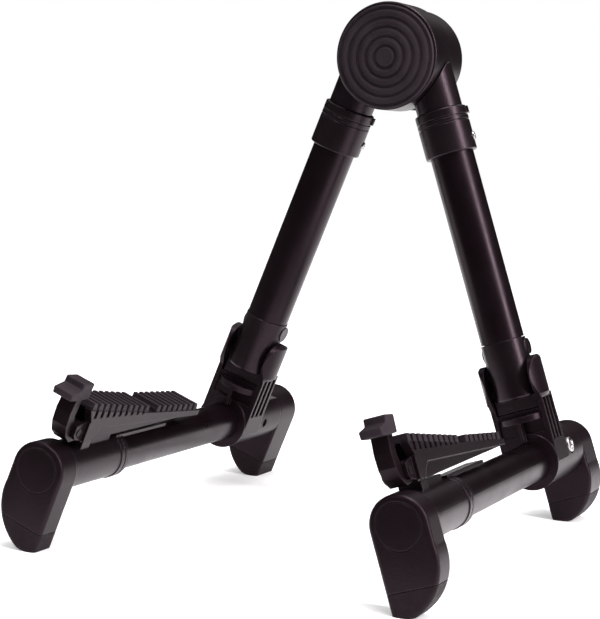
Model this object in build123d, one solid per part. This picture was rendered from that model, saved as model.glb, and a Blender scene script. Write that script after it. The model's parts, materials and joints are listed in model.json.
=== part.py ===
"""Folding A-frame instrument stand, in millimetres.

Each side of the stand (leg, foot bar, cradle arm and hook) is laid out flat in its own side frame:
v points outward, y along the foot bar, w up the leg. The side frame starts where the leg axis
meets the foot-bar axis. Both sides are then tilted about the hub and mirrored.
Global axes: X to the right, Y to the back, Z up, origin on the floor under the middle of the box.
"""
import os
from math import cos, radians, sin

from build123d import *

# ---- driving dimensions -------------------------------------------------------------------
SPREAD = 20.0            # tilt of each side from upright when the stand is open, degrees
LEG_OFFSET = 16.0        # leg axis to hub axis, so that the legs lie side by side when closed
LEG_LENGTH = 243.4       # hub axis to foot-bar axis, along the leg
BAR_HEIGHT = 42.3        # foot-bar axis above the floor
FIT = 0.05               # radial clearance of a fixed round fit
SLIDE_FIT = 0.08         # radial clearance of the telescopic fit

# hub
HUB_R = 30.7             # front knuckle
HUB_REAR_R = 29.3        # rear knuckle
HUB_FRONT = -19.0        # front face of the front knuckle
HUB_SPLIT = 4.0          # plane between the two knuckles
WASHER_T = 0.8
HUB_BACK = 27.0          # back face of the rear knuckle
CAP_DEPTH = 5.5
PAD_R = 29.4
PAD_PROUD = 2.0
PAD_SEAT = 1.6
PAD_GROOVES = 5
PAD_FIRST_GROOVE = 6.4
PAD_PITCH = 5.28
PAD_DROP = 0.7           # pad centre below the hub axis
BOLT_R = 5.0
BOLT_HEAD_R = 9.0
SOCKET_R = 13.2
SOCKET_END = 11.0        # top of the socket below the hub axis
SOCKET_GAP = 0.6         # space kept round the other knuckle

# leg
LEG_R = 12.5
LEG_WALL = 1.5
LEG_TOP = 204.0
SPIGOT_END = 160.0
COLLAR_R = 14.9
COLLAR_TOP = 206.0
COLLAR_BOTTOM = 180.0
COLLAR_SCREW_W = 187.5
COLLAR_SCREW_TURN = 16.0 # both collar screws face the same side of the stand
END_FITTING_R = 12.9
END_FITTING_TOP = 70.0
LEG_BOTTOM = 36.0
TONGUE_R = 17.6          # rounded lower end, centred on the fold pin

# clevis block at the foot of the leg
PIN_W = 46.3             # fold pin above the foot-bar axis
PIN_Y = 0.0
PIN_R = 4.0
PIN_DEPTH = 16.4         # the pin ends blind inside the smooth boss of one cheek
CHEEK_IN = 13.2
KNUCKLE_R = 18.3         # outside of the fork round the pin, about the leg axis
CHEEK_TOP_R = 12.0       # round top of the fork, about the pin
BOSS_LOW = 34.5
BOSS_DOME = 20.8         # rounds the boss off, about the pin
SEAT_R = 18.2            # hollow under the fitting, about the pin
FORK_SLOTS = (-3.2, 2.6, 8.4)
PANEL_V = 15.9           # flat lower panels of the fork
PANEL_FRONT = -6.8
BLOCK_R = 15.5
BLOCK_FRONT = -8.0
BLOCK_BACK = 44.0
HEEL_TOP = 26.2
CROSS_Y = 21.5           # cross bolt through block and bar
CROSS_W = 2.2

# foot bar
BAR_R = 11.0
BAR_WALL = 1.5
BAR_FRONT = -160.0
SLEEVE_R = 12.8
SLEEVE_RING_R = 13.3
SPIGOT_R = 12.2          # end of the sleeve inside the front foot
SLEEVE_STEP = -147.5
SLEEVE_BACK = -140.5
TONGUE_BACK = -94.0

# feet
FOOT_R = 15.0            # half width and radius of the round top
FOOT_BOTTOM = -42.6
FOOT_SIDE_END = -12.0    # where the outer side starts to curve in
FOOT_HEEL = -4.0         # where that curve reaches the bottom
FOOT_BULGE = (11.9, -29.0)
FOOT_FREE_EDGE = 2.2     # rounding of the free end face
FOOT_BAR_EDGE = 2.0      # rounding of the end face on the foot bar
FACE_RING_R = 11.5       # shallow ring on the end face of each foot
FOOT_CORNER = 4.0        # small radius at the inner lower corner
SOLE_LINE = -29.5
SOLE_GAP = 0.3
FRONT_FOOT = (-210.0, -194.0)
REAR_FOOT = (44.0, 68.0)
TENON = 3.0

# cradle arm
ARM_HALF = 9.0
ARM_CORE_HALF = 6.6
ARM_FRONT = -193.5
ARM_BACK = -66.0
ARM_KNEE = -127.0        # the top is steeper in front of the knee
ARM_TOP_KNEE = 26.4
ARM_SLOPE_FRONT = 0.152
ARM_SLOPE_BACK = 0.107
ARM_UNDER = 16.6
SHELL_LOW_BACK = 16.8    # lower edge of the side walls at the back and near the front
SHELL_LOW_FRONT = 24.2
PAD_BASE = 1.6
RIDGE_HEIGHT = 2.4
RIDGE_PITCH = 6.5
RIDGE_WIDTH = 3.6
FRONT_PAD = (-192.0, 10) # start and number of ridges
REAR_PAD = (-119.5, 8)
PAD_HALF = 8.6
PAD_LIP = 1.5            # the ridges reach this far past their strip on each side
SIDE_SLOTS = 9
SLOT_DEEP = 4.6          # side slot below the arm top at the front, getting shallower to the back
SLOT_RISE = 0.42

# hook
HOOK_PIN = (-194.0, 23.0)  # y and w of the hook pin
HOOK_HALF = 4.5
TIP_HALF = 5.8
EAR_GAP = 0.3
EAR_HALF = 6.9           # the ears that carry the hook pin are narrower than the arm

HUB_V = -LEG_OFFSET
HUB_W = LEG_LENGTH
FRONT_REACH = 212.8      # tip of the hook in front of the leg
REAR_REACH = REAR_FOOT[1]
LEG_Y = (FRONT_REACH - REAR_REACH) / 2
BAR_X = LEG_LENGTH * sin(radians(SPREAD)) + LEG_OFFSET * cos(radians(SPREAD))

LOW = (Align.CENTER, Align.CENTER, Align.MIN)


# ---- small helpers ------------------------------------------------------------------------
def rod_v(radius, v0, v1, y=0.0, w=0.0):
    """Round rod along v."""
    return Pos(v0, y, w) * Rot(0, 90, 0) * Cylinder(radius, v1 - v0, align=LOW)


def rod_y(radius, y0, y1, v=0.0, w=0.0):
    """Round rod along y."""
    return Pos(v, y0, w) * Rot(-90, 0, 0) * Cylinder(radius, y1 - y0, align=LOW)


def rod_w(radius, w0, w1, v=0.0, y=0.0):
    """Round rod along w."""
    return Pos(v, y, w0) * Cylinder(radius, w1 - w0, align=LOW)


def block(v0, v1, y0, y1, w0, w1):
    """Box between two corners."""
    return Pos(v0, y0, w0) * Box(v1 - v0, y1 - y0, w1 - w0, align=(Align.MIN,) * 3)


def plate(points, half, radius=0.0):
    """Outline drawn in the y-w plane, its corners rounded, as thick as half on each side of v=0."""
    outline = Polyline(*[(0, y, w) for y, w in points], close=True)
    face = make_face(outline)
    if radius:
        face = fillet(face.vertices(), radius)
    return extrude(face, amount=half, dir=(1, 0, 0), both=True)


def side_location():
    """Where the side frame of the right-hand side stands in the global frame."""
    tilt = radians(SPREAD)
    plane = Plane(
        origin=(BAR_X, LEG_Y, BAR_HEIGHT),
        x_dir=(cos(tilt), 0, sin(tilt)),
        z_dir=(-sin(tilt), 0, cos(tilt)),
    )
    return plane.location


def place(shape, side):
    """Stand a side-frame shape up on the right, or mirrored on the left."""
    stood = side_location() * shape
    if side == "left":
        stood = mirror(stood, about=Plane.YZ)
    return stood


def arm_top(y):
    """Height of the arm body under the rubber."""
    slope = ARM_SLOPE_FRONT if y < ARM_KNEE else ARM_SLOPE_BACK
    return ARM_TOP_KNEE - slope * (y - ARM_KNEE)


# ---- hub ----------------------------------------------------------------------------------
def knuckle(disc, other_y0, other_y1):
    """Hub disc with the socket that leads down into its leg, cleared round the other knuckle."""
    socket = rod_w(SOCKET_R, COLLAR_TOP, HUB_W - SOCKET_END)
    socket = fillet(socket.edges().group_by(Axis.Z)[-1], 2.0)
    other = rod_y(HUB_R + SOCKET_GAP, other_y0, other_y1, HUB_V, HUB_W)
    socket -= other
    spigot = rod_w(LEG_R - LEG_WALL - FIT, SPIGOT_END, COLLAR_TOP)
    spigot -= rod_w(LEG_R - LEG_WALL - 3, SPIGOT_END - 1, COLLAR_TOP - 12)
    return disc + socket + spigot


def hub_front_knuckle():
    disc = rod_y(HUB_R, HUB_FRONT, HUB_SPLIT, HUB_V, HUB_W)
    rim = disc.edges().group_by(Axis.Y)[0]
    disc = fillet(rim, 1.2)
    disc -= rod_y(PAD_R + 0.1, HUB_FRONT - 1, HUB_FRONT + PAD_SEAT, *pad_centre())
    head_seat = rod_y(BOLT_HEAD_R + 0.3, HUB_FRONT, HUB_FRONT + PAD_SEAT + 6, HUB_V, HUB_W)
    shape = knuckle(disc, HUB_SPLIT - SOCKET_GAP, HUB_BACK + 20)
    shape -= head_seat
    return shape - rod_y(BOLT_R + FIT, HUB_FRONT, HUB_SPLIT + 1, HUB_V, HUB_W)


def hub_rear_knuckle():
    start = HUB_SPLIT + WASHER_T
    disc = rod_y(HUB_REAR_R, start, HUB_BACK, HUB_V, HUB_W)
    web = Polyline((-27.0, 0, 216.5), (-11.0, 0, 219.0), (-11.0, 0, 209.6), close=True)
    web = Pos(0, start + 1.5, 0) * extrude(make_face(web), amount=6.5, dir=(0, 1, 0))
    nut_seat = rod_y(BOLT_HEAD_R + 0.3, HUB_BACK - 7, HUB_BACK + 1, HUB_V, HUB_W)
    shape = knuckle(disc + web, HUB_FRONT - 20, start + SOCKET_GAP)
    shape -= nut_seat
    return shape - rod_y(BOLT_R + FIT, start - 1, HUB_BACK, HUB_V, HUB_W)


def hub_washer():
    ring = rod_y(25.0, HUB_SPLIT, HUB_SPLIT + WASHER_T, HUB_V, HUB_W)
    return ring - rod_y(BOLT_R + 0.2, HUB_SPLIT - 1, HUB_SPLIT + 2, HUB_V, HUB_W)


def pad_centre():
    tilt = radians(SPREAD)
    return HUB_V - PAD_DROP * sin(tilt), HUB_W - PAD_DROP * cos(tilt)


def hub_front_pad():
    centre = pad_centre()
    back = HUB_FRONT + PAD_SEAT
    front = HUB_FRONT - PAD_PROUD
    pad = rod_y(PAD_R, front, back, *centre)
    for ring in range(PAD_GROOVES):
        radius = PAD_FIRST_GROOVE + ring * PAD_PITCH
        groove = rod_y(radius + 0.9, front - 1, front + 1.4, *centre)
        groove -= rod_y(radius - 0.9, front - 1, front + 1.4, *centre)
        pad -= groove
    return pad


def hub_pivot_bolt():
    head_front = HUB_FRONT + PAD_SEAT
    head = rod_y(BOLT_HEAD_R, head_front, head_front + 6, HUB_V, HUB_W)
    shank = rod_y(BOLT_R, head_front, HUB_BACK - 1, HUB_V, HUB_W)
    socket = Pos(HUB_V, head_front, HUB_W) * Rot(-90, 0, 0) * extrude(RegularPolygon(3.2, 6), 3.5)
    return head + shank - socket


def hub_pivot_nut():
    nut = extrude(RegularPolygon(BOLT_HEAD_R - 0.2, 6), 5.0)
    nut = Pos(HUB_V, HUB_BACK - 6, HUB_W) * Rot(-90, 0, 0) * nut
    return nut - rod_y(BOLT_R + 0.01, HUB_BACK - 7, HUB_BACK + 1, HUB_V, HUB_W)


def hub_rear_cap():
    cap = rod_y(HUB_REAR_R - 0.3, HUB_BACK, HUB_BACK + CAP_DEPTH, HUB_V, HUB_W)
    return fillet(cap.edges().group_by(Axis.Y)[-1], CAP_DEPTH - 0.5)


# ---- leg ----------------------------------------------------------------------------------
def leg_tube():
    tube = rod_w(LEG_R, END_FITTING_TOP, LEG_TOP)
    return tube - rod_w(LEG_R - LEG_WALL, END_FITTING_TOP - 1, LEG_TOP + 1)


def leg_collar(turn):
    ring = rod_w(COLLAR_R, COLLAR_BOTTOM, COLLAR_TOP - 0.3)
    ring = fillet(ring.edges().group_by(Axis.Z)[-1], 0.8)
    ring = fillet(ring.edges().group_by(Axis.Z)[0], 0.8)
    ring -= rod_w(LEG_R + FIT, COLLAR_BOTTOM - 1, LEG_TOP + 0.5)
    ring -= rod_w(LEG_R - LEG_WALL, LEG_TOP, COLLAR_TOP)
    for level in (COLLAR_TOP - 6.0, COLLAR_TOP - 9.0):
        band = rod_w(COLLAR_R + 1, level, level + 0.8) - rod_w(COLLAR_R - 0.7, level, level + 0.8)
        ring -= band
    ear = block(COLLAR_R - 1.2, COLLAR_R + 1.1, -2.6, 2.6, COLLAR_TOP - 5.0, COLLAR_TOP - 1.2)
    ring += Rot(0, 0, turn) * ear
    return ring - collar_screw_hole(0.1, turn)


def collar_screw_hole(gap, turn):
    across = Pos(0, 0, COLLAR_SCREW_W) * Rot(0, 0, turn) * Rot(0, 90, 0)
    return across * Pos(0, 0, LEG_R + FIT) * Cylinder(2.6 + gap, 6, align=LOW)


def leg_collar_screw(turn):
    screw = collar_screw_hole(0.0, turn)
    turned = Pos(0, 0, COLLAR_SCREW_W) * Rot(0, 0, turn)
    screw &= turned * block(0, COLLAR_R + 1.1, -4, 4, -4, 4)
    return screw - turned * block(COLLAR_R + 0.3, COLLAR_R + 3, -0.4, 0.4, -4, 4)


def leg_end_fitting():
    body = rod_w(END_FITTING_R, LEG_BOTTOM, END_FITTING_TOP - 0.3)
    body = fillet(body.edges().group_by(Axis.Z)[0], 2.0)
    tongue = rod_v(TONGUE_R, -END_FITTING_R + 0.5, END_FITTING_R - 0.5, PIN_Y, PIN_W)
    body += tongue & block(-20, 20, -5.0, END_FITTING_R, 0, PIN_W)
    body += rod_v(4.6, -END_FITTING_R - 0.5, END_FITTING_R + 0.5, 2.0, 63.8)
    body += rod_w(LEG_R - LEG_WALL - FIT, END_FITTING_TOP - 1, END_FITTING_TOP + 24)
    return body - rod_v(PIN_R + 0.06, -20, 20, PIN_Y, PIN_W)


# ---- clevis block -------------------------------------------------------------------------
def fork_outline():
    """Side view of the fork, from the round top down to the barrel."""
    return [
        (PIN_Y - CHEEK_TOP_R, PIN_W),
        (PIN_Y - 10.5, BOSS_LOW + 5.0),
        (PANEL_FRONT, BOSS_LOW - 2.0),
        (PANEL_FRONT, -3.0),
        (14.5, -3.0),
        (13.0, 12.0),
        (PIN_Y + CHEEK_TOP_R, 26.0),
        (PIN_Y + CHEEK_TOP_R, PIN_W),
    ]


def clevis_block(closed):
    barrel = rod_y(BLOCK_R, BLOCK_FRONT, BLOCK_BACK)
    wide = KNUCKLE_R + 1
    side_view = plate(fork_outline(), wide, 2.0)
    side_view += rod_v(CHEEK_TOP_R, -wide, wide, PIN_Y, PIN_W)
    fork = side_view & block(-PANEL_V, PANEL_V, -40, 40, -3, BOSS_LOW + 1.5)
    fork += side_view & rod_w(KNUCKLE_R, BOSS_LOW, 70) & Pos(0, PIN_Y, PIN_W) * Sphere(BOSS_DOME)
    body = barrel + fork
    for face in (-1, 1):
        for start in FORK_SLOTS:
            slot = block(CHEEK_IN + 0.9, 20, start - 1.9, start + 1.9, 9.5, BOSS_LOW - 0.5)
            body -= slot if face > 0 else mirror(slot, about=Plane.YZ)
    lug = plate([(18, 0), (43.5, 0), (43.5, 13.5), (30, 17), (18, 20)], 8.0, 1.5)
    body += lug
    swing = rod_v(SEAT_R, -CHEEK_IN, CHEEK_IN, PIN_Y, PIN_W)
    swing += block(-CHEEK_IN, CHEEK_IN, -40, 40, PIN_W - 9, 80)
    body -= swing
    pocket = block(-CHEEK_IN, CHEEK_IN, -40, -5.5, 15.5, 60)
    body -= pocket
    heel = rod_w(CHEEK_IN + 0.4, HEEL_TOP - 3.4, HEEL_TOP) & block(-20, 20, -20, -5.5, 0, 60)
    body += heel
    body += block(-0.9, 0.9, -11.5, -6.0, 12.0, HEEL_TOP - 3.0)
    arch = rod_y(BLOCK_R + 0.5, BLOCK_FRONT, BLOCK_FRONT + 2.0)
    body += arch
    body -= rod_y(BAR_R + FIT, BLOCK_FRONT - 12, BLOCK_BACK + 1)
    body -= pin_rod(PIN_R + FIT, closed, PIN_DEPTH + 0.2, 20)
    body -= rod_v(2.6 + FIT, -20, 20, CROSS_Y, CROSS_W)
    body -= rod_v(4.4, 12.6, 20, CROSS_Y, CROSS_W)
    return body


def pin_rod(radius, closed, deep, open_end):
    """Rod along the fold pin, pushed in from the open cheek towards the closed one."""
    if closed > 0:
        return rod_v(radius, -open_end, deep, PIN_Y, PIN_W)
    return rod_v(radius, -deep, open_end, PIN_Y, PIN_W)


def clevis_pin(closed):
    return pin_rod(PIN_R, closed, PIN_DEPTH, KNUCKLE_R - 0.3)


def bar_cross_bolt():
    bolt = rod_v(2.6, -14.5, 13.5, CROSS_Y, CROSS_W)
    bolt += rod_v(4.3, 12.7, 16.3, CROSS_Y, CROSS_W)
    return bolt - block(15.5, 17, CROSS_Y - 0.5, CROSS_Y + 0.5, CROSS_W - 5, CROSS_W + 5)


# ---- foot bar -----------------------------------------------------------------------------
def bar_tube():
    tube = rod_y(BAR_R, BAR_FRONT, REAR_FOOT[0] + 12)
    tube -= rod_y(BAR_R - BAR_WALL, BAR_FRONT - 1, REAR_FOOT[0] + 13)
    return tube - rod_v(2.6 + FIT, -20, 20, CROSS_Y, CROSS_W)


def front_sleeve():
    sleeve = rod_y(SLEEVE_R, FRONT_FOOT[1], SLEEVE_BACK)
    sleeve += rod_y(SLEEVE_RING_R, SLEEVE_STEP, SLEEVE_BACK)
    sleeve += rod_y(SLEEVE_RING_R, FRONT_FOOT[1], FRONT_FOOT[1] + 3.0)
    sleeve += rod_y(SPIGOT_R, FRONT_FOOT[1] - 6, FRONT_FOOT[1])
    groove = rod_y(SLEEVE_RING_R + 1, SLEEVE_STEP + 3.0, SLEEVE_STEP + 4.0)
    sleeve -= groove - rod_y(SLEEVE_RING_R - 0.6, SLEEVE_STEP + 2.0, SLEEVE_STEP + 5.0)
    sleeve += block(-5.0, 5.0, SLEEVE_STEP, TONGUE_BACK, BAR_R + 0.6, BAR_R + 2.6)
    sleeve += block(-6.0, 6.0, -184.0, -176.0, 10, ARM_UNDER)
    sleeve += block(-4.5, 4.5, -176.0, -154.0, 10, ARM_UNDER - 1.0)
    bore = rod_y(BAR_R + SLIDE_FIT, FRONT_FOOT[1], SLEEVE_BACK + 1)
    return sleeve - bore


# ---- feet ---------------------------------------------------------------------------------
def foot_profile(y0, y1, free_end):
    """Round top, flat inner side, full outer curve, cut level where it meets the floor."""
    r = FOOT_R
    top = ThreePointArc((-r, 0, 0), (0, 0, r), (r, 0, 0))
    side = Line((r, 0, 0), (r, 0, FOOT_SIDE_END))
    knee = (FOOT_BULGE[0], 0, FOOT_BULGE[1])
    bend = ThreePointArc((r, 0, FOOT_SIDE_END), knee, (FOOT_HEEL, 0, FOOT_BOTTOM))
    corner = -r + FOOT_CORNER
    under = Line((FOOT_HEEL, 0, FOOT_BOTTOM), (corner, 0, FOOT_BOTTOM))
    mid = (corner - FOOT_CORNER * sin(radians(45)), 0, FOOT_BOTTOM + FOOT_CORNER * (1 - cos(radians(45))))
    turn = ThreePointArc((corner, 0, FOOT_BOTTOM), mid, (-r, 0, FOOT_BOTTOM + FOOT_CORNER))
    inner = Line((-r, 0, FOOT_BOTTOM + FOOT_CORNER), (-r, 0, 0))
    face = make_face([top, side, bend, under, turn, inner])
    solid = extrude(Pos(0, y0, 0) * face, amount=y1 - y0, dir=(0, 1, 0))
    front_edge = FOOT_FREE_EDGE if free_end == y0 else FOOT_BAR_EDGE
    back_edge = FOOT_FREE_EDGE if free_end == y1 else FOOT_BAR_EDGE
    solid = fillet(solid.edges().group_by(Axis.Y)[0], front_edge)
    solid = fillet(solid.edges().group_by(Axis.Y)[-1], back_edge)
    floor = Rot(0, SPREAD, 0) * block(-80, 80, y0 - 1, y1 + 1, -BAR_HEIGHT - 20, -BAR_HEIGHT)
    return solid - floor


def foot_parts(y0, y1, free_end, bore_r, blind_from, blind_to):
    """Hard foot and rubber sole, split at the sole line; the sole has a tenon."""
    whole = foot_profile(y0, y1, free_end)
    middle = (y0 + y1) / 2
    tenon = block(-9, 5, middle - 5, middle + 5, SOLE_LINE - SOLE_GAP, SOLE_LINE + TENON)
    foot = whole & block(-30, 30, y0 - 1, y1 + 1, SOLE_LINE, 30)
    foot -= tenon
    ring = rod_y(FACE_RING_R + 0.3, free_end - 0.3, free_end + 0.3)
    foot -= ring - rod_y(FACE_RING_R - 0.3, free_end - 0.5, free_end + 0.5)
    foot -= rod_y(bore_r + FIT, blind_from, blind_to)
    sole = whole & block(-30, 30, y0 - 1, y1 + 1, -60, SOLE_LINE - SOLE_GAP)
    sole += block(-8.9, 4.9, middle - 4.9, middle + 4.9, SOLE_LINE - SOLE_GAP - 1, SOLE_LINE + TENON)
    return foot, sole


# ---- cradle arm ---------------------------------------------------------------------------
def support_arm():
    core = plate(
        [
            (ARM_FRONT + 5, ARM_UNDER),
            (ARM_BACK - 1, ARM_UNDER),
            (ARM_BACK - 1, 19.0),
            (ARM_FRONT + 5, 30.0),
        ],
        ARM_CORE_HALF,
    )
    shell = plate(
        [
            (ARM_BACK, SHELL_LOW_BACK),
            (ARM_BACK, arm_top(ARM_BACK)),
            (ARM_KNEE, arm_top(ARM_KNEE)),
            (ARM_FRONT, arm_top(ARM_FRONT)),
            (ARM_FRONT + 4.5, 29.0),
            (HOOK_PIN[0] - 3.9, 27.0),
            (HOOK_PIN[0] - 3.9, 21.5),
            (HOOK_PIN[0] - 1.8, 19.0),
            (-184.5, 17.0),
            (-176.0, SHELL_LOW_FRONT),
        ],
        ARM_HALF,
    )
    body = core + shell
    channel = block(-HOOK_HALF - EAR_GAP, HOOK_HALF + EAR_GAP, -215, HOOK_PIN[0] + 10.4, 10, 60)
    body -= channel
    body -= block(EAR_HALF, 20, -215, ARM_FRONT + 3.5, 10, 29.5)
    body -= block(-20, -EAR_HALF, -215, ARM_FRONT + 3.5, 10, 29.5)
    for slot in range(SIDE_SLOTS):
        start = FRONT_PAD[0] + RIDGE_WIDTH + slot * RIDGE_PITCH
        high = arm_top(start) + 0.5
        low = arm_top(start) - SLOT_DEEP + slot * SLOT_RISE
        for face in (-1, 1):
            slot_box = block(0, 1.4, start, start + RIDGE_PITCH - RIDGE_WIDTH, low, high)
            slot_box = Pos(ARM_HALF - 1.4 if face > 0 else -ARM_HALF, 0, 0) * slot_box
            body -= slot_box
    return body - rod_v(2.0 + FIT, -20, 20, *HOOK_PIN)


def ridged_pad(start, ridges):
    """Ribbed rubber strip lying on the sloping arm top."""
    length = ridges * RIDGE_PITCH

    def on_top(y, lift):
        return (y, arm_top(y) + lift)

    strip = plate(
        [
            on_top(start, 0.0),
            on_top(start + length, 0.0),
            on_top(start + length, PAD_BASE),
            on_top(start, PAD_BASE),
        ],
        PAD_HALF - PAD_LIP,
    )
    for ridge in range(ridges):
        y = start + ridge * RIDGE_PITCH
        tooth = [
            on_top(y, 0.0),
            on_top(y + RIDGE_WIDTH + 0.6, 0.0),
            on_top(y + RIDGE_WIDTH, PAD_BASE + RIDGE_HEIGHT),
            on_top(y + 0.6, PAD_BASE + RIDGE_HEIGHT),
        ]
        strip += plate(tooth, PAD_HALF)
    return strip


# ---- hook ---------------------------------------------------------------------------------
def arm_hook():
    outline = [
        (-203.2, 45.0),
        (-205.2, 34.0),
        (-204.6, 26.5),
        (-201.8, 20.6),
        (-196.8, 16.6),
        (-190.0, 17.2),
        (-186.4, 19.4),
        (-186.4, 26.0),
        (-191.5, 28.2),
        (-197.5, 27.4),
        (-199.6, 32.0),
        (-198.2, 45.0),
    ]
    stem = plate(outline, HOOK_HALF, 1.5)
    return stem - rod_v(2.0 + FIT, -20, 20, *HOOK_PIN)


def hook_tip():
    outline = [
        (-204.0, 51.4),
        (-204.6, 47.8),
        (-FRONT_REACH, 46.2),
        (-FRONT_REACH + 0.6, 42.4),
        (-204.8, 41.6),
        (-194.6, 41.6),
        (-193.8, 50.4),
    ]
    tip = plate(outline, TIP_HALF, 0.9)
    tip = fillet(tip.faces().group_by(Axis.X)[-1].edges(), 0.7)
    tip = fillet(tip.faces().group_by(Axis.X)[0].edges(), 0.7)
    return tip - arm_hook()


def hook_pin():
    return rod_v(2.0, -EAR_HALF - 0.4, EAR_HALF + 0.4, *HOOK_PIN)


# ---- assembly -----------------------------------------------------------------------------
def side_parts(screw_turn, closed):
    front, back = FRONT_FOOT
    front_foot, front_sole = foot_parts(front, back, front, SPIGOT_R, back - 6.2, back + 1)
    front, back = REAR_FOOT
    rear_foot, rear_sole = foot_parts(front, back, back, BAR_R, front - 1, front + 12.2)
    return {
        "leg_tube": leg_tube(),
        "leg_collar": leg_collar(screw_turn),
        "leg_collar_screw": leg_collar_screw(screw_turn),
        "leg_end_fitting": leg_end_fitting(),
        "clevis_block": clevis_block(closed),
        "clevis_pin": clevis_pin(closed),
        "bar_tube": bar_tube(),
        "bar_cross_bolt": bar_cross_bolt(),
        "front_sleeve": front_sleeve(),
        "front_foot": front_foot,
        "front_sole": front_sole,
        "rear_foot": rear_foot,
        "rear_sole": rear_sole,
        "support_arm": support_arm(),
        "arm_pad_front": ridged_pad(*FRONT_PAD),
        "arm_pad_rear": ridged_pad(*REAR_PAD),
        "arm_hook": arm_hook(),
        "hook_tip": hook_tip(),
        "hook_pin": hook_pin(),
    }


def main():
    os.makedirs("parts", exist_ok=True)
    nodes = {
        "hub_front_knuckle": place(hub_front_knuckle(), "left"),
        "hub_front_pad": place(hub_front_pad(), "left"),
        "hub_pivot_bolt": place(hub_pivot_bolt(), "left"),
        "hub_washer": place(hub_washer(), "left"),
        "hub_rear_knuckle": place(hub_rear_knuckle(), "right"),
        "hub_pivot_nut": place(hub_pivot_nut(), "right"),
        "hub_rear_cap": place(hub_rear_cap(), "right"),
    }
    sides = {
        "left": side_parts(180 - COLLAR_SCREW_TURN, -1),
        "right": side_parts(COLLAR_SCREW_TURN, 1),
    }
    for side, shapes in sides.items():
        for name, shape in shapes.items():
            nodes[f"{side}_{name}"] = place(shape, side)
    for name, shape in nodes.items():
        export_step(shape, f"parts/{name}.step")


main()
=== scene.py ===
import json
from math import cos, pi, radians, sin

import bmesh
import bpy
from mathutils import Matrix, Vector

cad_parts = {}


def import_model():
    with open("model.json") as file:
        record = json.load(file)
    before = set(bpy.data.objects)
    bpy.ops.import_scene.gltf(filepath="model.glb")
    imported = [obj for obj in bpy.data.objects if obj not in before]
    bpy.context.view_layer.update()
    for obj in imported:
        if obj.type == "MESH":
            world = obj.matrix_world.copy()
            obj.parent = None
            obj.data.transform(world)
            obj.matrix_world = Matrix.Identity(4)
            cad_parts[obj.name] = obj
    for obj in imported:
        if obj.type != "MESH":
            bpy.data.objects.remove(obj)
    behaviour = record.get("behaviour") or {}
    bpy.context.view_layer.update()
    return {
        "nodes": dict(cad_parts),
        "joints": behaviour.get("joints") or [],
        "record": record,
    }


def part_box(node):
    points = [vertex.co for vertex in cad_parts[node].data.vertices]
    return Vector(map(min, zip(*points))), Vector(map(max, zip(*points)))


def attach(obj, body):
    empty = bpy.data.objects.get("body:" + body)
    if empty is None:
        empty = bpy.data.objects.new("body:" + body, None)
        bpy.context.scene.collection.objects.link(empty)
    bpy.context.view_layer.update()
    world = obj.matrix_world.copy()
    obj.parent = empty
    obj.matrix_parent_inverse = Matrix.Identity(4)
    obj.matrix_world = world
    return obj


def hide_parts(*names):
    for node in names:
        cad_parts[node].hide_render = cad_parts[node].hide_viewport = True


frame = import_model()


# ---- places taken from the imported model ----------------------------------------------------
def joint_axis(name):
    """Direction of a joint's axis."""
    found = [j for j in frame["joints"] if j["name"] == name][0]
    return Vector(found["axis"])


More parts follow.
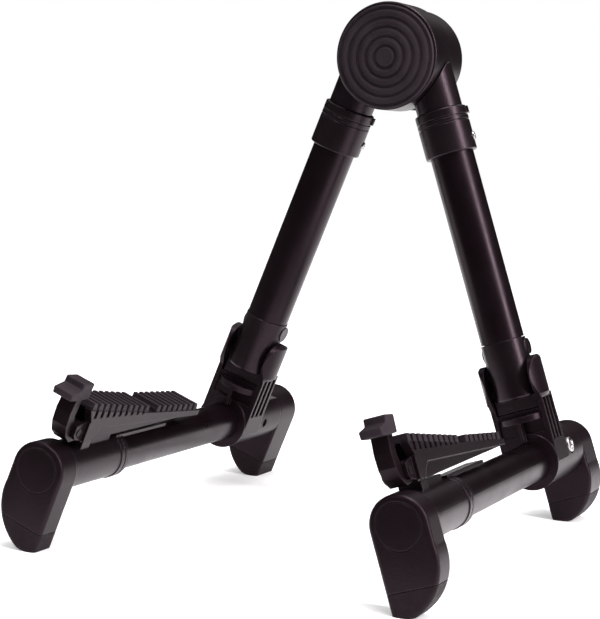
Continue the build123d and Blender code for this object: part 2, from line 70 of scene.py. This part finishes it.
# ---- materials -----------------------------------------------------------------------------
class Mat:
    """A node material with a few short helpers."""

    def __init__(self, name):
        self.m = bpy.data.materials.new(name)
        self.m.use_nodes = True
        self.t = self.m.node_tree
        self.b = self.t.nodes["Principled BSDF"]
        coord = self.t.nodes.new("ShaderNodeTexCoord")
        self.co = coord.outputs["Object"]

    def node(self, kind, **inputs):
        n = self.t.nodes.new(kind)
        for key, value in inputs.items():
            self.put(n, key.replace("_", " "), value)
        return n

    def put(self, n, key, value):
        if isinstance(value, bpy.types.NodeSocket):
            self.t.links.new(value, n.inputs[key])
        else:
            n.inputs[key].default_value = value

    def noise(self, scale, detail, distortion=0.0):
        n = self.node(
            "ShaderNodeTexNoise", Vector=self.co, Scale=scale, Detail=detail, Distortion=distortion
        )
        return n.outputs["Fac"]

    def voronoi(self, scale):
        n = self.node("ShaderNodeTexVoronoi", Vector=self.co, Scale=scale)
        return n.outputs["Distance"]

    def span(self, value, a, b, lo, hi):
        n = self.t.nodes.new("ShaderNodeMapRange")
        self.t.links.new(value, n.inputs["Value"])
        for key, v in (("From Min", a), ("From Max", b), ("To Min", lo), ("To Max", hi)):
            n.inputs[key].default_value = v
        return n.outputs["Result"]

    def math(self, op, a, b):
        n = self.t.nodes.new("ShaderNodeMath")
        n.operation = op
        for i, v in enumerate((a, b)):
            if isinstance(v, bpy.types.NodeSocket):
                self.t.links.new(v, n.inputs[i])
            else:
                n.inputs[i].default_value = v
        return n.outputs[0]

    def mix(self, fac, a, b):
        n = self.t.nodes.new("ShaderNodeMix")
        n.data_type = "RGBA"
        for key, v in ((0, fac), (6, a), (7, b)):
            if isinstance(v, bpy.types.NodeSocket):
                self.t.links.new(v, n.inputs[key])
            else:
                n.inputs[key].default_value = v
        return n.outputs[2]

    def edge(self, radius):
        """1 along the sharp edges of the surface, 0 on its open areas."""
        bevel = self.node("ShaderNodeBevel", Radius=radius)
        geo = self.t.nodes.new("ShaderNodeNewGeometry")
        dot = self.t.nodes.new("ShaderNodeVectorMath")
        dot.operation = "DOT_PRODUCT"
        self.t.links.new(bevel.outputs["Normal"], dot.inputs[0])
        self.t.links.new(geo.outputs["Normal"], dot.inputs[1])
        return self.span(dot.outputs["Value"], 0.995, 0.8, 0.0, 1.0)

    def surface(self, height, strength, distance, rounding):
        """Rounded edges with fine relief on top."""
        bevel = self.node("ShaderNodeBevel", Radius=rounding)
        bump = self.node("ShaderNodeBump", Height=height, Strength=strength, Distance=distance)
        self.t.links.new(bevel.outputs["Normal"], bump.inputs["Normal"])
        self.t.links.new(bump.outputs["Normal"], self.b.inputs["Normal"])


def rgb(r, g, b):
    return (r, g, b, 1.0)


def tube_paint(name):
    """Satin black stoved paint on tube, with faint orange peel and long hairline rubs."""
    m = Mat(name)
    cloud = m.noise(14.0, 4.0)
    peel = m.noise(420.0, 2.0)
    rubs = m.noise(60.0, 5.0)
    worn = m.edge(0.0005)
    dark, light = rgb(0.0022, 0.0009, 0.0014), rgb(0.0042, 0.0022, 0.0031)
    base = m.mix(m.span(cloud, 0.35, 0.7, 0.0, 1.0), dark, light)
    edge_tone = rgb(0.035, 0.028, 0.032)
    m.put(m.b, "Base Color", m.mix(m.math("MULTIPLY", worn, 0.35), base, edge_tone))
    rough = m.span(rubs, 0.35, 0.7, 0.27, 0.35)
    m.put(m.b, "Roughness", m.math("ADD", rough, m.span(cloud, 0.4, 0.7, 0.0, 0.04)))
    m.put(m.b, "Specular IOR Level", TUBE_SPECULAR)
    m.put(m.b, "Specular Tint", WARM_TINT)
    m.surface(peel, 0.05, 0.0001, 0.0003)
    return m.m


def moulding(name, colour, light, rough, grain, specular, rounding=0.0006):
    """Moulded plastic: fine spark-eroded grain, slightly polished edges, faint mottling."""
    m = Mat(name)
    cloud = m.noise(22.0, 5.0)
    fine = m.noise(grain, 3.0)
    cell = m.voronoi(grain * 0.7)
    worn = m.edge(rounding * 1.6)
    base = m.mix(m.span(cloud, 0.3, 0.75, 0.0, 1.0), colour, light)
    edge_tone = rgb(*(min(1.0, c * 2.4 + 0.012) for c in light[:3]))
    m.put(m.b, "Base Color", m.mix(m.math("MULTIPLY", worn, 0.5), base, edge_tone))
    patch = m.span(cloud, 0.3, 0.75, rough, rough + 0.08)
    m.put(m.b, "Roughness", m.math("SUBTRACT", patch, m.math("MULTIPLY", worn, 0.1)))
    m.put(m.b, "Specular IOR Level", specular)
    m.put(m.b, "Specular Tint", WARM_TINT)
    m.surface(m.math("ADD", fine, m.math("MULTIPLY", cell, 0.6)), 0.25, 0.0002, rounding)
    return m.m


def rubber(name, colour, light, rough, specular):
    """Matte rubber: powdery bloom in patches, dust on the open faces, scuffed edges."""
    m = Mat(name)
    cloud = m.noise(30.0, 6.0)
    pores = m.noise(1400.0, 3.0)
    scuff = m.noise(260.0, 5.0)
    worn = m.edge(0.0009)
    bloom = m.math("MULTIPLY", m.span(cloud, 0.42, 0.72, 0.0, 1.0), m.span(scuff, 0.3, 0.7, 0.6, 1.0))
    base = m.mix(bloom, colour, light)
    edge_tone = rgb(*(c * 1.7 + 0.006 for c in light[:3]))
    m.put(m.b, "Base Color", m.mix(m.math("MULTIPLY", worn, 0.4), base, edge_tone))
    m.put(m.b, "Roughness", m.span(scuff, 0.3, 0.7, rough - 0.06, rough + 0.08))
    m.put(m.b, "Specular IOR Level", specular)
    m.put(m.b, "Specular Tint", WARM_TINT)
    m.surface(m.math("ADD", pores, m.math("MULTIPLY", scuff, 0.5)), 0.35, 0.0003, 0.0005)
    return m.m


def metal(name, colour, rough, grain):
    """Plated or blackened steel with turning marks and small pits."""
    m = Mat(name)
    cloud = m.noise(180.0, 4.0)
    turned_marks = m.noise(grain, 4.0, distortion=0.4)
    worn = m.edge(0.0003)
    bright = rgb(*(min(1.0, c * 1.4 + 0.03) for c in colour[:3]))
    dark = rgb(*(c * 0.72 for c in colour[:3]))
    base = m.mix(m.span(cloud, 0.35, 0.7, 0.0, 1.0), dark, colour)
    m.put(m.b, "Base Color", m.mix(m.math("MULTIPLY", worn, 0.6), base, bright))
    m.put(m.b, "Metallic", 1.0)
    m.put(m.b, "Roughness", m.span(cloud, 0.3, 0.7, rough, rough + 0.16))
    m.surface(turned_marks, 0.25, 0.00008, 0.0002)
    return m.m


WARM_TINT = rgb(1.0, 0.74, 0.87)
TUBE_SPECULAR = 0.24
MATERIALS = {
    "black_gloss_tube": tube_paint("black_gloss_tube_paint"),
    "black_moulding": moulding(
        "black_grained_moulding",
        colour=rgb(0.004, 0.002, 0.0028),
        light=rgb(0.0075, 0.0043, 0.0056),
        rough=0.33,
        grain=900.0,
        specular=0.17,
    ),
    "hub_moulding": moulding(
        "hub_satin_moulding",
        colour=rgb(0.003, 0.0018, 0.0023),
        light=rgb(0.006, 0.004, 0.005),
        rough=0.3,
        grain=1100.0,
        specular=0.3,
    ),
    "soft_rubber": rubber(
        "soft_grey_rubber",
        colour=rgb(0.011, 0.0085, 0.0105),
        light=rgb(0.021, 0.0168, 0.0205),
        rough=0.6,
        specular=0.2,
    ),
    "sole_rubber": rubber(
        "dark_sole_rubber",
        colour=rgb(0.005, 0.003, 0.0038),
        light=rgb(0.0095, 0.0062, 0.0075),
        rough=0.62,
        specular=0.2,
    ),
    "zinc_screw": metal("zinc_plated_steel", colour=rgb(0.5, 0.49, 0.49), rough=0.24, grain=500.0),
    "dark_steel": metal("blackened_steel", colour=rgb(0.04, 0.036, 0.038), rough=0.4, grain=500.0),
}

slots = {s["node"]: s["material_slot"] for s in frame["record"]["subparts"]}
for name, obj in frame["nodes"].items():
    obj.data.materials.clear()
    obj.data.materials.append(MATERIALS[slots[name]])


# ---- turned pieces --------------------------------------------------------------------------
MM = 0.001
SEGMENTS = 64
DOME_POWER = 3.2            # how late a domed screw face curves down towards its rim
SCREW_TURN = radians(16.0)  # turn of the collar screws from straight outward

# soft ringed pad
PAD_STEPS = 120
PAD_VALLEYS = 5
FIRST_VALLEY = 6.4 * MM
VALLEY_PITCH = 5.28 * MM
VALLEY_DEPTH = 1.5 * MM
CROWN_DROP = 0.35 * MM
RIM_DROP = 0.9 * MM

# screws and pins
COLLAR_SCREW_R = 2.6 * MM
COLLAR_SCREW_HALF = 1.75 * MM
CROSS_HEAD_R = 4.3 * MM
CROSS_HEAD_T = 3.6 * MM
CROSS_SHANK_R = 2.6 * MM
CROSS_END_R = 2.3 * MM
CROSS_HALF = 15.4 * MM
FOLD_PIN_R = 4.0 * MM
FOLD_PIN_END_R = 3.6 * MM
FOLD_PIN_HALF = 17.2 * MM
FOLD_PIN_DIMPLE = 0.5 * MM


def middle(node):
    low, high = (Vector(c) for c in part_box(node))
    return (low + high) / 2


def turned(name, node, body, centre, normal, rings, front=0, recess=None):
    """A lathed solid along normal; its first rings may be sunk by a recess across the face."""
    n = Vector(normal).normalized()
    a = n.orthogonal().normalized()
    b = n.cross(a)
    bm = bmesh.new()
    tip = bm.verts.new(centre + n * (rings[0][1] - (recess(0.0, 0.0) if recess else 0.0)))
    loops = []
    for index, (r, h) in enumerate(rings[1:]):
        loop = []
        for k in range(SEGMENTS):
            t = 2 * pi * k / SEGMENTS
            x, y = r * cos(t), r * sin(t)
            sunk = recess(x, y) if recess and index < front else 0.0
            loop.append(bm.verts.new(centre + a * x + b * y + n * (h - sunk)))
        loops.append(loop)
    for k in range(SEGMENTS):
        nxt = (k + 1) % SEGMENTS
        bm.faces.new((tip, loops[0][k], loops[0][nxt]))
        for inner, outer in zip(loops, loops[1:]):
            bm.faces.new((inner[k], outer[k], outer[nxt], inner[nxt]))
    bm.faces.new(list(reversed(loops[-1])))
    bmesh.ops.recalc_face_normals(bm, faces=bm.faces)
    mesh = bpy.data.meshes.new(name)
    bm.to_mesh(mesh)
    bm.free()
    for polygon in mesh.polygons:
        polygon.use_smooth = len(polygon.vertices) < 5
    obj = bpy.data.objects.new(name, mesh)
    bpy.context.scene.collection.objects.link(obj)
    mesh.materials.append(MATERIALS[slots[node]])
    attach(obj, body)
    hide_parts(node)
    return obj


def smooth(x, a, b):
    """0 at a, 1 at b, with level ends."""
    t = max(0.0, min(1.0, (x - a) / (b - a)))
    return t * t * (3 - 2 * t)


def cross_recess(arm, half, depth):
    """Depth of a cross-shaped driver recess at a point of a screw face."""

    def sunk(x, y):
        x, y = abs(x), abs(y)
        along = 1 - smooth(max(x, y), arm * 0.75, arm)
        across = 1 - smooth(min(x, y), half * 0.6, half * 1.3)
        return depth * along * across

    return sunk


def domed_face(radius, rise, count):
    """Rings of a low dome with a rounded rim, from its middle outwards."""
    rings = []
    for k in range(count + 1):
        r = radius * k / count
        rings.append((r, -rise * (k / count) ** DOME_POWER))
    return rings


def hub_pad():
    """Soft round pad with five rounded rings divided by narrow valleys."""
    low, high = (Vector(c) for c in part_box("hub_front_pad"))
    radius = (high.x - low.x) / 2
    centre = Vector(((low.x + high.x) / 2, low.y, (low.z + high.z) / 2))
    rings = []
    for k in range(PAD_STEPS + 1):
        r = radius * k / PAD_STEPS
        nearest = min(abs(r - FIRST_VALLEY - VALLEY_PITCH * v) for v in range(PAD_VALLEYS))
        valley = VALLEY_DEPTH * (1 - smooth(nearest, 0.35 * MM, 1.35 * MM))
        crown = CROWN_DROP * smooth(nearest, 2.6 * MM, 1.0 * MM) if r > FIRST_VALLEY else 0.0
        rim = RIM_DROP * smooth(r, radius - 1.0 * MM, radius)
        rings.append((r, -max(valley, crown, rim)))
    rings.append((radius, -(high.y - low.y)))
    turned("hub_pad_rings", "hub_front_pad", "left_leg", centre, (0, -1, 0), rings)


def side_axes(side):
    """Outward direction across a side's foot bar, read from its fold joint."""
    axis = joint_axis(side + "_base_fold")
    outward = 1.0 if side == "right" else -1.0
    return axis if axis.x * outward > 0 else -axis


def small_hardware(side, same):
    """Screws and pins of one side. same is 1 where the outward direction is the screwed side."""
    out = side_axes(side)
    back = Vector((0, 1, 0))
    leg, base = side + "_leg", side + "_base"
    facing = out * cos(SCREW_TURN) * same + back * sin(SCREW_TURN)
    node = side + "_leg_collar_screw"
    face_rings = 16
    rings = domed_face(COLLAR_SCREW_R, 0.7 * MM, face_rings)
    rings.append((COLLAR_SCREW_R, -2 * COLLAR_SCREW_HALF))
    place = middle(node) + facing * COLLAR_SCREW_HALF
    recess = cross_recess(1.7 * MM, 0.45 * MM, 0.8 * MM)
    turned(side + "_collar_screw", node, leg, place, facing, rings, face_rings, recess)

    node = side + "_bar_cross_bolt"
    face_rings = 20
    rings = domed_face(CROSS_HEAD_R, 0.9 * MM, face_rings)
    rings += [(CROSS_HEAD_R, -CROSS_HEAD_T), (CROSS_SHANK_R, -CROSS_HEAD_T)]
    rings += [(CROSS_SHANK_R, -2 * CROSS_HALF + 0.3 * MM), (CROSS_END_R, -2 * CROSS_HALF)]
    place = middle(node) + out * CROSS_HALF
    recess = cross_recess(2.8 * MM, 0.6 * MM, 1.3 * MM)
    turned(side + "_cross_bolt", node, base, place, out, rings, face_rings, recess)

    node = side + "_clevis_pin"
    rings = domed_face(FOLD_PIN_R, 0.5 * MM, 12)
    rings = [(r, h - FOLD_PIN_DIMPLE * (1 - smooth(r, 1.0 * MM, 1.5 * MM))) for r, h in rings]
    rings += [(FOLD_PIN_R, -2 * FOLD_PIN_HALF + 0.4 * MM), (FOLD_PIN_END_R, -2 * FOLD_PIN_HALF)]
    place = middle(node) - out * same * FOLD_PIN_HALF
    turned(side + "_fold_pin", node, base, place, out * -same, rings)


hub_pad()
small_hardware("right", 1)
small_hardware("left", -1)


# ---- floor, light and camera ---------------------------------------------------------------
FLOOR_HALF = 6.0
FLAG_STEPS = 72
FLAG_RADIUS = 2.6
FLAG_HEIGHT = 3.2            # of the curtain at the sides
FLAG_DROP = 1.9              # how much lower it is at the back, and higher in front
FLAG_LEAN = 0.8              # its top edge stands this far out compared with its foot
CLOTH_BACK = -0.2            # back edge of the dark cloth on the floor, in front of the stand
CLOTH_HEIGHT = 0.001
LIGHT_TINT = (1.0, 0.94, 0.97)
CAMERA_PLACE = (0.3807, -0.8726, 0.2185)
CAMERA_AZIMUTH, CAMERA_ELEVATION, CAMERA_ROLL = radians(24.67), radians(5.72), radians(3.17)
CAMERA_LENS = 104.76


def floor():
    """Plain pale paper, faintly self-lit."""
    mesh = bpy.data.meshes.new("studio_floor")
    s = FLOOR_HALF
    mesh.from_pydata([(-s, -s, 0), (s, -s, 0), (s, s, 0), (-s, s, 0)], [], [(0, 1, 2, 3)])
    obj = bpy.data.objects.new("studio_floor", mesh)
    bpy.context.scene.collection.objects.link(obj)
    m = Mat("studio_floor_paper")
    tone = m.span(m.noise(3.0, 2.0), 0.3, 0.7, 0.0, 1.0)
    m.put(m.b, "Base Color", m.mix(tone, rgb(0.93, 0.93, 0.93), rgb(0.95, 0.95, 0.95)))
    m.put(m.b, "Roughness", 0.85)
    m.put(m.b, "Specular IOR Level", 0.1)
    m.put(m.b, "Emission Color", rgb(1.0, 1.0, 1.0))
    m.put(m.b, "Emission Strength", 0.12)
    mesh.materials.append(m.m)


def dark_flag():
    """Dark curtain all round and dark cloth on the floor in front, seen only in reflections."""
    bm = bmesh.new()
    rows = []
    for k in range(FLAG_STEPS + 1):
        t = 2 * pi * k / FLAG_STEPS
        x, y = FLAG_RADIUS * cos(t), FLAG_RADIUS * sin(t)
        top = (x * FLAG_LEAN, y * FLAG_LEAN, FLAG_HEIGHT - FLAG_DROP * sin(t))
        rows.append((bm.verts.new((x, y, 0.0)), bm.verts.new(top)))
    centre = bm.verts.new((0.0, CLOTH_BACK, CLOTH_HEIGHT))
    for (a, b), (c, d) in zip(rows, rows[1:]):
        bm.faces.new((a, c, d, b))
        if max(a.co.y, c.co.y) < CLOTH_BACK:
            bm.faces.new((centre, a, c))
    mesh = bpy.data.meshes.new("studio_flag")
    bm.to_mesh(mesh)
    bm.free()
    obj = bpy.data.objects.new("studio_flag", mesh)
    bpy.context.scene.collection.objects.link(obj)
    m = Mat("studio_flag_cloth")
    weave = m.noise(8.0, 3.0)
    m.put(m.b, "Base Color", m.mix(weave, rgb(0.006, 0.006, 0.006), rgb(0.014, 0.014, 0.014)))
    m.put(m.b, "Roughness", 0.95)
    m.put(m.b, "Specular IOR Level", 0.05)
    mesh.materials.append(m.m)
    obj.visible_camera = False
    obj.visible_diffuse = False
    obj.visible_shadow = False


def area(name, place, target, size, power):
    """Rectangular softbox at place, aimed at target."""
    data = bpy.data.lights.new(name, "AREA")
    data.shape = "RECTANGLE"
    data.size, data.size_y = size
    data.energy = power
    data.color = LIGHT_TINT
    obj = bpy.data.objects.new(name, data)
    obj.location = place
    obj.rotation_euler = (Vector(target) - Vector(place)).to_track_quat("-Z", "Y").to_euler()
    bpy.context.scene.collection.objects.link(obj)


def world():
    """Plain white surroundings."""
    w = bpy.data.worlds.new("studio_world")
    w.use_nodes = True
    back = w.node_tree.nodes["Background"]
    back.inputs["Color"].default_value = (1.0, 1.0, 1.0, 1.0)
    back.inputs["Strength"].default_value = 1.0
    bpy.context.scene.world = w


def camera():
    """The camera looks along its azimuth and slightly down, with a small roll."""
    azimuth, elevation, roll = CAMERA_AZIMUTH, CAMERA_ELEVATION, CAMERA_ROLL
    level = cos(elevation)
    forward = Vector((-sin(azimuth) * level, cos(azimuth) * level, -sin(elevation)))
    right = Vector((cos(azimuth), sin(azimuth), 0.0))
    up = right.cross(forward)
    right, up = cos(roll) * right + sin(roll) * up, cos(roll) * up - sin(roll) * right
    data = bpy.data.cameras.new("studio_camera")
    data.sensor_fit = "HORIZONTAL"
    data.sensor_width = 36.0
    data.lens = CAMERA_LENS
    data.clip_start, data.clip_end = 0.05, 50.0
    obj = bpy.data.objects.new("studio_camera", data)
    turn = Matrix((right, up, -forward)).transposed().to_4x4()
    obj.matrix_world = Matrix.Translation(CAMERA_PLACE) @ turn
    bpy.context.scene.collection.objects.link(obj)
    bpy.context.scene.camera = obj


bpy.context.scene.view_settings.view_transform = "Standard"
floor()
world()
camera()
dark_flag()
area("key_softbox", place=(1.5, -0.1, 0.9), target=(0, 0, 0.12), size=(0.26, 1.4), power=30.0)
area("fill_softbox", place=(-0.9, -1.3, 1.2), target=(0, 0, 0.12), size=(0.6, 0.6), power=1.6)
area("top_softbox", place=(0.3, -0.25, 1.7), target=(0, 0, 0.1), size=(0.9, 0.7), power=27.0)
